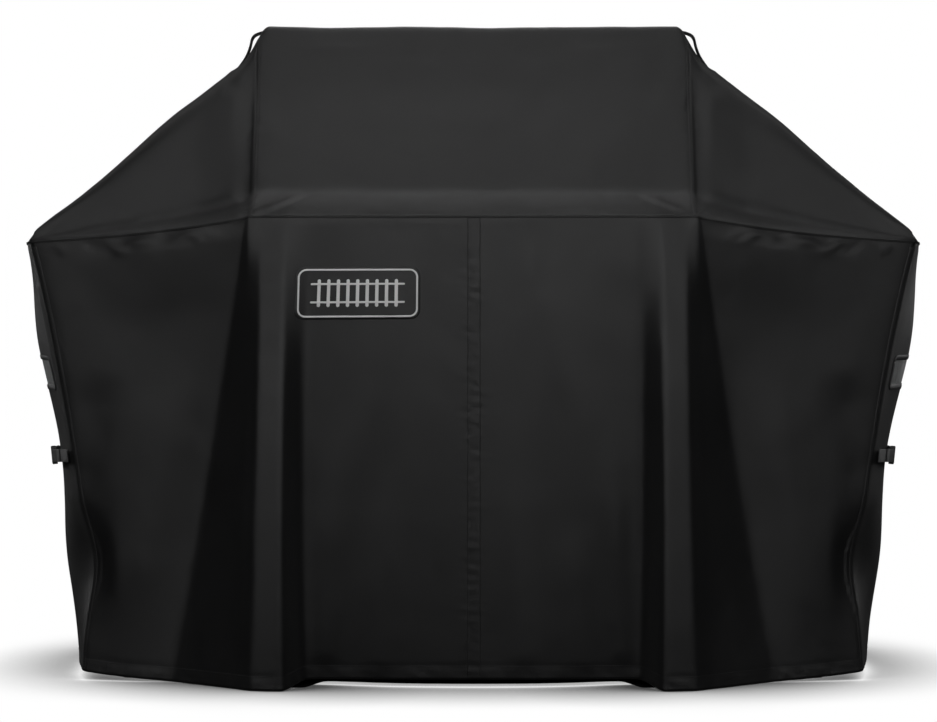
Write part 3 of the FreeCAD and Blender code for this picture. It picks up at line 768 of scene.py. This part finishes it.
def moulded(name, colour, rough):
    """Moulded acetal: fine grain, slightly worn, glossier where it is rubbed."""
    look = Look(name)
    place = look.add("TexCoord", {}).outputs["Object"]
    wear = look.noise(place, 90.0, 4.0)
    tint = look.add("Mix", {0: look.spread(wear, 0.0, 1.0, 0.35, 0.7),
                            6: (*[c * 0.8 for c in colour], 1),
                            7: (*[c * 1.4 for c in colour], 1)}, data_type="RGBA")
    look.feed(look.shader, {
        "Base Color": tint.outputs[2],
        "Roughness": look.spread(wear, rough + 0.08, rough - 0.08, 0.3, 0.7),
        "Normal": look.bump(look.noise(place, 1400.0, 2.0), 0.25, 0.0001)})
    return look.mat


buckle_plastic = moulded("buckle_acetal", (0.012, 0.012, 0.0125), 0.38)


def dress(obj, mat, replaces=(), body="cover"):
    obj.data.materials.clear()
    obj.data.materials.append(mat)
    if body:
        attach(obj, body)
    if replaces:
        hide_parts(*replaces)
    return obj


def flat_size(grid):
    return (lengths_of(grid, 1)[:, -1].max() * MM + 0.001,
            lengths_of(grid, 0)[-1].max() * MM + 0.001)


# ---- the cloth panels
SHELL = 1.2 * MM


def cloth_panel(name, node, grid, uv_origin, skip=None):
    obj = grid_mesh(f"{name}_cloth", grid, uv_origin, skip)
    thicken(obj, SHELL)
    dress(obj, cover_cloth, [node])
    flat_size(grid)


VENT_LOW, VENT_HIGH, VENT_FRONT, VENT_BACK = 562.0, 614.0, 135.0, 265.0
DEPTH = ring[..., 1] + MID
in_window = ((ring[..., 2] > VENT_LOW) & (ring[..., 2] < VENT_HIGH)
             & (DEPTH > VENT_FRONT) & (DEPTH < VENT_BACK) & (np.abs(ring[..., 0]) > 700))
panels = {
    "front_skirt_right": span(col("seam"), col("corner")),
    "front_skirt_left": span(col("corner", -1), col("seam")),
    "side_skirt_right": span(col("corner"), col("heel")),
    "side_skirt_left": span(col("heel", -1), col("corner", -1)),
    "back_skirt_right": span(col("heel"), col("back_seam")),
    "back_skirt_left": span(col("back_seam"), col("heel", -1)),
}
ROW_PITCH = 4.94  # mm between the skirt's rows
HEM_ROWS = 28 / ROW_PITCH
HEM_PROFILE = [(-14.0, -1.3), (-13.4, -2.1), (0.0, -2.2), (13.4, -1.9), (14.0, -0.4)]
for name, cols in panels.items():
    grid = ring[:, cols]
    inside = in_window[:, cols]
    cut = inside[:-1, :-1] & inside[1:, :-1] & inside[:-1, 1:] & inside[1:, 1:]
    part, _, side = name.split("_")
    top = {"front": "hood_front_panel", "side": f"wing_{side}", "back": "hood_back_panel"}
    cloth_panel(name, name, grid, (cols[0] * STEP * MM, 0),
                cut if cut.any() else None)
    first, last = cols[0], cols[0] + len(cols) - 1
    middle_row = ROWS - 1 - HEM_ROWS / 2
    line = dense(skin, [(middle_row, first), (middle_row, last)], 5.0)
    turned_up = tape(f"hem_{part}_{side}_turnup", skin, line, HEM_PROFILE, thick=0.6)
    dress(turned_up, hem_cloth, [f"hem_{part}_{side}"])
    flat_size(grid)[0]

FRONT_ROWS = N_LEDGE + N_FACE
BACK_START = FRONT_ROWS + N_ROOF
for name, first, last in (("hood_front", 0, FRONT_ROWS + 7),
                          ("hood_roof", FRONT_ROWS + 7, BACK_START - 3),
                          ("hood_back", BACK_START - 3, rows - 1)):
    cloth_panel(name, f"{name}_panel", hood[first:last + 1], (1.0, 2.0 + first * 0.005))
for side, grid in wings.items():
    cloth_panel(f"wing_{side}", f"wing_{side}", grid, (3.0, 1.0))

# ---- seams
LAP = [(-0.9, 0.0), (-0.5, 0.5), (0.4, 0.6), (3.5, 0.45), (7.8, 0.2), (9.2, 0.02)]
LAP_STITCH = ((2.6, 0.42), (6.4, 0.42))
# the waist seam: a welt, the groove under it, and the skirt's turned edge
WAIST_LAP = [(-1.7, 0.0), (-1.6, 1.3), (-0.9, 1.75), (0.6, 0.95), (1.8, 0.15), (2.2, 0.15),
             (3.5, 1.0), (4.6, 1.15), (8.0, 0.6), (12.0, 0.04)]
WAIST_STITCH = ((5.6, 1.15), (9.0, 0.6))
BAND_SHAPE = [(-12.6, 0.02), (-12.2, 0.55), (-9.5, 0.5), (-7.0, 0.7), (0.0, 0.8),
              (7.0, 0.7), (9.5, 0.5), (12.2, 0.55), (12.6, 0.02)]
thread_front, thread_round = [], []
for part, station, shift in (("front", "seam", 0.35), ("back", "back_seam", 0.0)):
    c = col(station) + shift
    line = dense(skin, [(0.4, c), (ROWS - 1.2, c)])
    line[:, 1] += 0.08 * np.sin(line[:, 0] / 3.1) * np.sin(line[:, 0] / 11.0)
    obj = tape(f"{part}_seam_strip", skin, line, BAND_SHAPE)
    dress(obj, tape_cloth, [f"{part}_seam_tape"])
    for offset in (-9.5, 9.5):
        thread_front.append((skin, beside(skin, line, offset), 0.42))


SEAM_ROW = 0.35


def lap_strip(name, surface, corners, where, flip=1, shape=LAP, thread=LAP_STITCH):
    """A narrow lapped seam: its crest lies along the line, its back fades away."""
    line = dense(surface, corners)
    obj = tape(name, surface, line, [(flip * a, b) for a, b in shape])
    dress(obj, tape_cloth)
    length = lengths_of(surface.at(line[:, 0], line[:, 1])[0][None], 1)[0, -1] * MM
    for offset, lift in thread:
        thread_round.append((surface, beside(surface, line, flip * offset), lift))


# the waist seam all round, under the hood and wings
for part, first, last, under in (
        ("front", col("corner", -1) - COLS, col("corner"), "front_skirt_left_cloth"),
        ("right", col("corner"), col("heel"), "side_skirt_right_cloth"),
        ("left", col("heel", -1), col("corner", -1), "side_skirt_left_cloth"),
        ("back", col("heel"), col("heel", -1), "back_skirt_left_cloth")):
    lap_strip(f"waist_seam_{part}", skin, [(SEAM_ROW, first), (SEAM_ROW, last)], under,
              1, WAIST_LAP, WAIST_STITCH)
# down both sides of the hood, front and back
for side, c, flip in (("right", NX - 1 - 0.3, -1), ("left", 0.3, 1)):
    lap_strip(f"hood_seam_{side}", hood_skin, [(0.5, c), (rows - 1.5, c)],
              "hood_front_cloth", flip)
# the upright corners of the skirt
for name, turn in (("corner", 1.5), ("heel", -1.5)):
    for side, sign in SIDES:
        c = col(name, sign) + 0.2 * turn * sign
        lap_strip(f"{name}_seam_{side}", skin, [(2.0, c), (ROWS - 1.3, c)],
                  f"side_skirt_{side}_cloth", -sign if name == "corner" else sign)
hem_row = ROWS - 1 - 26 / ROW_PITCH
hem_line = dense(skin, [(hem_row, 0), (hem_row, COLS - 1)])
hem_rows = [(skin, hem_line, 0.0)]


for name, jobs in (("stitching_middle_seams", thread_front),
                   ("stitching_lapped_seams", thread_round),
                   ("stitching_hem", hem_rows)):
    obj = stitches(name, [(surface.lifted(lift), path) for surface, path, lift in jobs])
    dress(obj, thread)

# ---- vents
VENT_CORNER = 5.0
NET_LIFT, NET_WAVE = -1.6, 0.28
YARN_HALF, YARN_TALL = 0.42, 0.3


def rounded_box(wide, tall, radius, per_corner=9):
    out = []
    for cx, cy, start in ((1, 1, 0), (-1, 1, 90), (-1, -1, 180), (1, -1, 270)):
        for a in np.linspace(start, start + 90, per_corner):
            out.append((cx * (wide / 2 - radius) + radius * math.cos(math.radians(a)),
                        cy * (tall / 2 - radius) + radius * math.sin(math.radians(a))))
    return np.array(out)


def vent_places(side, sign):
    """For one side wall: the row at a height and the column at a depth."""
    cols = panels[f"side_skirt_{side}"]
    levels = -ring[:, col("swell", sign), 2]
    row0 = int(round(np.interp(-(VENT_LOW + VENT_HIGH) / 2, levels, np.arange(ROWS))))
    depth = DEPTH[row0, cols]
    order = np.argsort(depth)

    def col_at(d):
        return np.interp(d, depth[order], cols[order])

    def row_at(z):
        line = ring[:, int(round(col_at((VENT_FRONT + VENT_BACK) / 2))), 2]
        return np.interp(-z, -line, np.arange(ROWS))
    return row_at, col_at


def yarn_points(at_rows, at_cols, wave):
    """One yarn of the net, a flat four-sided thread, as four lines of points."""
    points, normal = skin.at(at_rows, at_cols, NET_LIFT + wave)
    across = np.cross(np.gradient(points, axis=0), normal)
    across *= YARN_HALF / np.linalg.norm(across, axis=1, keepdims=True)
    return np.concatenate([points + across, points + normal * YARN_TALL,
                           points - across, points - normal * YARN_TALL])


def woven_net(name, net_rows, net_cols):
    """Yarns along the rows and along the columns, over and under each other."""
    verts, faces, total = [], [], 0
    for level in (True, False):
        fixed, along = (net_rows, net_cols) if level else (net_cols, net_rows)
        n = len(along)
        for number, place in enumerate(fixed):
            wave = NET_WAVE * np.where((np.arange(n) + number) % 2, 1, -1)
            still = np.full(n, place)
            verts.append(yarn_points(still, along, wave) if level
                         else yarn_points(along, still, -wave))
            base = total + np.arange(n - 1)
            for k in range(4):
                q = (k + 1) % 4
                faces.append(np.stack([base + k * n, base + k * n + 1,
                                       base + q * n + 1, base + q * n], axis=1))
            total += 4 * n
    return new_object(name, np.concatenate(verts) * MM, np.concatenate(faces))


for side, sign in SIDES:
    row_at, col_at = vent_places(side, sign)
    c_a, c_b = sorted((col_at(VENT_FRONT - 6), col_at(VENT_BACK + 6)))
    net = woven_net(f"vent_net_{side}",
                    np.linspace(row_at(VENT_HIGH + 5), row_at(VENT_LOW - 5), 27),
                    np.linspace(c_a, c_b, 59))
    dress(net, net_yarn, [f"vent_mesh_{side}"])

    edge_r = row_at(VENT_HIGH), row_at(VENT_LOW)
    edge_c = sorted((col_at(VENT_FRONT), col_at(VENT_BACK)))
    scale = np.array([skin.over, skin.down])
    size = np.array([np.ptp(edge_c), np.ptp(edge_r)]) * scale
    outline = rounded_box(*size, VENT_CORNER, 7) / scale + [np.mean(edge_c), np.mean(edge_r)]
    outline = np.roll(outline, len(outline) // 2, axis=0)[:, ::-1]
    line = dense(skin, outline, closed=True)
    turn_sign = 1 if (beside(skin, line, 1.0, True)[0] - line[0])[0] < 0 else -1
    binding = tape(f"vent_frame_{side}", skin, line,
                   [(turn_sign * a, b) for a, b in
                    ((-1.2, -1.9), (-1.3, 0.3), (-0.6, 0.95), (3.6, 1.3), (7.6, 0.95),
                     (8.0, 0.05))], closed=True)
    dress(binding, lining, [f"vent_binding_{side}"])

# ---- badge
BADGE_X, BADGE_Z, BADGE_W, BADGE_H = -214.5, 736.5, 221.0, 87.0
HEM_LEVEL = 7.0
BADGE_THICK = 0.4 * MM
front_cols = np.arange(-120, 1)
front_x = ring[28, front_cols % COLS, 0]


def on_front(x, z):
    """(row, column) of a place on the left of the front, given its x and z."""
    return ((FRONT_TOP - np.asarray(z)) / (FRONT_TOP - HEM_LEVEL) * (ROWS - 1),
            np.interp(x, front_x, front_cols))


def patch_grid(wide, tall, radius, nr=37, nc=93, lift=0.6):
    lines = []
    for y in np.linspace(-tall / 2, tall / 2, nr):
        over = max(0.0, abs(y) - (tall / 2 - radius))
        half = wide / 2 - radius + math.sqrt(max(radius ** 2 - over ** 2, 0.0))
        r, c = on_front(BADGE_X + np.linspace(-half, half, nc), np.full(nc, BADGE_Z - y))
        edge = np.full(nc, lift)
        edge[[0, -1]] = 0.05
        if abs(y) >= tall / 2 - 0.01:
            edge[:] = 0.05
        lines.append(skin.at(r, c, edge)[0])
    return np.stack(lines)


badge = grid_mesh("badge_patch_cloth", patch_grid(BADGE_W + 12, BADGE_H + 12, 18.0))
thicken(badge, BADGE_THICK)
dress(badge, badge_cloth, ["front_badge"])


def printed(shapes, lift=2.2):
    """Flat ribbons on the badge: closed or open centre lines with a half width."""
    verts, faces, total = [], [], 0
    for points, half, closed in shapes:
        p = np.asarray(points, float)
        run = np.roll(p, -1, 0) - np.roll(p, 1, 0) if closed else np.gradient(p, axis=0)
        run /= np.linalg.norm(run, axis=1, keepdims=True)
        side = np.stack([-run[:, 1], run[:, 0]], axis=1)
        width = np.full(len(p), half)
        if not closed:
            far = line_length(p)
            gap = np.minimum(far, far[-1] - far)
            width = np.sqrt(np.maximum(half ** 2 - np.maximum(half - gap, 0) ** 2, 0.0025))
        lines = []
        for k in (-1, -0.8, 0.8, 1):
            q = p + side * (width * k)[:, None]
            r, c = on_front(BADGE_X + q[:, 0], BADGE_Z + q[:, 1])
            lines.append(skin.at(r, c, lift if abs(k) < 1 else lift - 0.3)[0])
        grid = np.stack(lines)
        if closed:
            grid = np.concatenate([grid, grid[:, :1]], axis=1)
        pts = (grid * MM).reshape(-1, 3)
        f = grid_faces(*grid.shape[:2], pts)
        verts.append(pts)
        faces.append(f + total)
        total += len(pts)
    return new_object("badge_print", np.concatenate(verts), np.concatenate(faces))


def rod(x, y0, y1, half):
    ends = np.linspace(0, 1, 5) * half
    ys = np.concatenate([y0 + ends, np.linspace(y0 + half, y1 - half, 8)[1:-1],
                         y1 - half + ends])
    return np.stack([np.full(len(ys), float(x)), ys], axis=1), half, False


def rod_across(y, x0, x1, half):
    points, half, closed = rod(y, x0, x1, half)
    return points[:, ::-1], half, closed


# an outline with a plain grill grate in it
shapes = [(rounded_box(BADGE_W, BADGE_H, 14.0), 1.7, True)]
shapes += [rod(x, -26, 26, 3.1) for x in np.arange(-72, 73, 18)]
shapes += [rod_across(y, -88, 88, 1.9) for y in (-17, 17)]
badge_print = printed(shapes)
dress(badge_print, print_white)

# ---- webbing and buckles
SELVEDGE = 0.55


def webbing_from(node, name):
    """The node's own ribbon with rounded selvedges."""
    source = frame["nodes"][node]
    mesh = source.data.copy()
    edit = bmesh.new()
    edit.from_mesh(mesh)
    bmesh.ops.remove_doubles(edit, verts=edit.verts, dist=1e-6)
    bmesh.ops.dissolve_limit(edit, angle_limit=math.radians(1.0), verts=edit.verts,
                             edges=edit.edges)
    sharp = [e for e in edit.edges if len(e.link_faces) == 2
             and e.calc_face_angle(0) > math.radians(55)]
    bmesh.ops.bevel(edit, geom=sharp, offset=SELVEDGE * MM, segments=3, profile=0.5,
                    affect="EDGES", clamp_overlap=True)
    for face in edit.faces:
        face.smooth = True
    edit.to_mesh(mesh)
    edit.free()
    return placed(name, mesh)


for side, sign in SIDES:
    front_strap = webbing_from(f"strap_front_{side}", f"webbing_front_{side}")
    dress(front_strap, strap_web, [f"strap_front_{side}"])
    rear_strap = webbing_from(f"strap_rear_{side}", f"webbing_rear_{side}")
    dress(rear_strap, strap_web, [f"strap_rear_{side}"], None)
    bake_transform(rear_strap)
    tail = webbing_from(f"strap_tail_{side}", f"webbing_tail_{side}")
    dress(tail, strap_web, [f"strap_tail_{side}"], f"tail_{side}")
    loop = webbing_from(f"hanging_loop_{side}", f"webbing_loop_{side}")
    for vert in loop.data.vertices:
        vert.co.z -= 0.0090 * float(step(vert.co.z, 1.185, 1.252))
    dress(loop, loop_web, [f"hanging_loop_{side}"])
    for part in ("socket", "plug", "prongs"):
        item = frame["nodes"][f"buckle_{part}_{side}"]
        for place in item.material_slots:
            place.link = "OBJECT"
            place.material = buckle_plastic

# ---- stage, light, camera
CONTACT = 0.27  # how far from the cover the painted shadow on the floor reaches, m


def glowing(name, contact):
    """A plain white glow; if contact is set, it is dimmed by ambient occlusion where the object
    stands close, a painted shadow.
    """
    look = Look(name)
    look.feed(look.shader, {"Base Color": (0, 0, 0, 1), "Specular IOR Level": 0.0,
                            "Emission Color": (1, 1, 1, 1), "Emission Strength": 1.0})
    if contact:
        # painted shadow: the floor's glow darkens with ambient occlusion near the cover
        near = look.add("AmbientOcclusion", {"Distance": contact}, samples=24)
        painted_shadow_glow = look.spread(near.outputs["AO"], 0.06, 1.0, 0.42, 0.97)
        look.feed(look.shader, {"Emission Strength": painted_shadow_glow})
    return look.mat


# a near-black matte look for the painted shade under the cover
def painted_shade_black(name):
    look = Look(name)
    look.feed(look.shader, {"Base Color": (0.004, 0.004, 0.004, 1), "Roughness": 1.0,
                            "Specular IOR Level": 0.0})
    return look.mat


def stage_piece(name, build, mat):
    mesh = bpy.data.meshes.new(name)
    edit = bmesh.new()
    build(edit)
    edit.to_mesh(mesh)
    edit.free()
    mesh.materials.append(mat)
    obj = placed(name, mesh)
    obj.visible_diffuse = False
    obj.visible_glossy = False
    obj.visible_transmission = False
    return obj


ROOM = 24.0
floor = stage_piece("studio_floor", lambda edit: bmesh.ops.create_circle(
    edit, cap_ends=True, segments=96, radius=ROOM), glowing("studio_floor", CONTACT))
floor.location.z = -0.0006
dome = stage_piece("studio_dome", lambda edit: bmesh.ops.create_uvsphere(
    edit, u_segments=64, v_segments=32, radius=ROOM), glowing("studio_white", 0))
dome.visible_shadow = False

# painted shade: a black patch on the floor under the cover stands in for the cover's shade
FLOOR_SHADE = (0.90, 0.86)
outline = ring[-1, :, :2] * FLOOR_SHADE * MM
shade = stage_piece("studio_floor_shade", lambda edit: edit.faces.new(
    [edit.verts.new((x, y, 0.0)) for x, y in outline]), painted_shade_black("studio_floor_shade"))
shade.location.z = -0.0003

world = bpy.data.worlds.new("studio")
bpy.context.scene.world = world
world.use_nodes = True
backdrop = world.node_tree.nodes["Background"]
backdrop.inputs[0].default_value = (1, 1, 1, 1)
backdrop.inputs[1].default_value = 0.006

# name, azimuth (0 is the front, positive to the right), elevation, size, power
AIM = Vector((0, 0, 0.6))
REACH = 4.4
SOFTBOXES = [
    ("overhead", 0, 88, (1.6, 1.6), 27.0),
    ("over_front", 0, 56, (1.6, 1.2), 28.0),
    ("front_low", 0, 13, (1.4, 1.2), 3.5),
    ("behind_high", 180, 52, (2.4, 1.4), 40.0),
    ("rear_middle", 180, 6, (1.8, 1.2), 12.0),
]
for side, sign in SIDES:
    SOFTBOXES += [
        (f"front_{side}", 23 * sign, 12, (1.3, 1.3), 27.0),
        (f"low_{side}", 42 * sign, 6, (1.3, 1.3), 0.3),
        (f"corner_{side}", 60 * sign, 26, (1.3, 1.3), 0.8),
        (f"side_{side}", 110 * sign, 12, (1.6, 1.3), 28.0),
        (f"high_{side}", 104 * sign, 50, (1.6, 1.3), 9.0),
        (f"rear_{side}", 150 * sign, 8, (1.4, 1.2), 22.0),
    ]


def pieces_with(collection_name, *words):
    group = bpy.data.collections.new(collection_name)
    for obj in bpy.context.scene.objects:
        if any(word in obj.name for word in words):
            group.objects.link(obj)
    return group


# the fills behind and beside reach only what faces them, so the front keeps its contrast
RECEIVERS = {"rear": pieces_with("rear_pieces", "back_", "_back", "wing_left", "wing_right"),
             "side": pieces_with("side_pieces", "side_skirt", "hem_side", "vent_",
                                 "webbing_front", "webbing_rear", "webbing_tail")}
for name, azimuth, elevation, size, power in SOFTBOXES:
    a, e = math.radians(azimuth), math.radians(elevation)
    way = Vector((math.sin(a) * math.cos(e), -math.cos(a) * math.cos(e), math.sin(e)))
    data = bpy.data.lights.new(name, "AREA")
    data.shape = "RECTANGLE"
    data.size, data.size_y = size
    data.energy = power
    lamp = placed(name, data)
    lamp.location = AIM + way * REACH
    lamp.rotation_euler = (-way).to_track_quat("-Z", "Y").to_euler()
    reached = RECEIVERS.get(name.split("_")[0])
    if reached:
        lamp.light_linking.receiver_collection = reached

DISTANCE = 4.0
VIEW_WIDTH = 1.741636   # what the picture spans where the front stands, m
EYE = 0.65
TILT, TURN = -0.56, 0.12  # degrees
camera_data = bpy.data.cameras.new("camera")
camera_data.sensor_width = 36.0
camera_data.lens = camera_data.sensor_width * DISTANCE / VIEW_WIDTH
camera_data.clip_end = 100.0
camera = placed("camera", camera_data)
camera.location = (0.0, -(DISTANCE + MID * MM), EYE)
camera.rotation_euler = (math.radians(90 + TILT), 0, math.radians(TURN))
bpy.context.scene.camera = camera
bpy.context.scene.view_settings.view_transform = "Standard"
